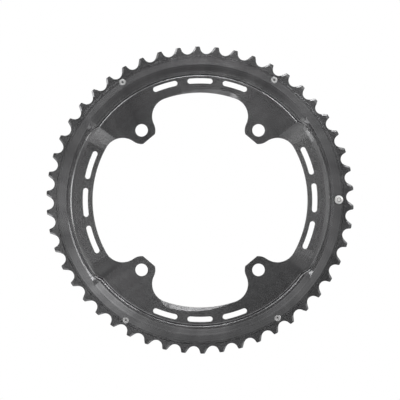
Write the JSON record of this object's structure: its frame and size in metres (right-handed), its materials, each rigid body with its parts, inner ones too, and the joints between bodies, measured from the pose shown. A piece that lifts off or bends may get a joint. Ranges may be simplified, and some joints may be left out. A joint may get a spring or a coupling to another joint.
{
  "type": "bicycle chainring",
  "caption": "Round toothed ring for a bicycle crankset, with bolt ears in a large window, slotted web, raised band, shift rivets and a chain stop pin.",
  "frame": {"origin": "on the ring's axis, at the back face of the web, which is the surface the part lies on", "axes": "+Z along the ring's axis towards the crank arm's side, +X towards the chain stop pin"},
  "size_m": [0.204, 0.2042, 0.0105],
  "materials": {
    "anodised_ring": "dark anodised, machined satin",
    "rivet_steel": "turned satin",
    "pin_steel": "bright turned"
  },
  "bodies": {
    "root": {"chainring": "anodised_ring", "shift_rivet_upper_right": "rivet_steel", "shift_rivet_upper_left": "rivet_steel", "shift_rivet_lower_left": "rivet_steel", "shift_rivet_lower_right": "rivet_steel", "chain_stop_pin": "pin_steel"}
  },
  "joints": []
}
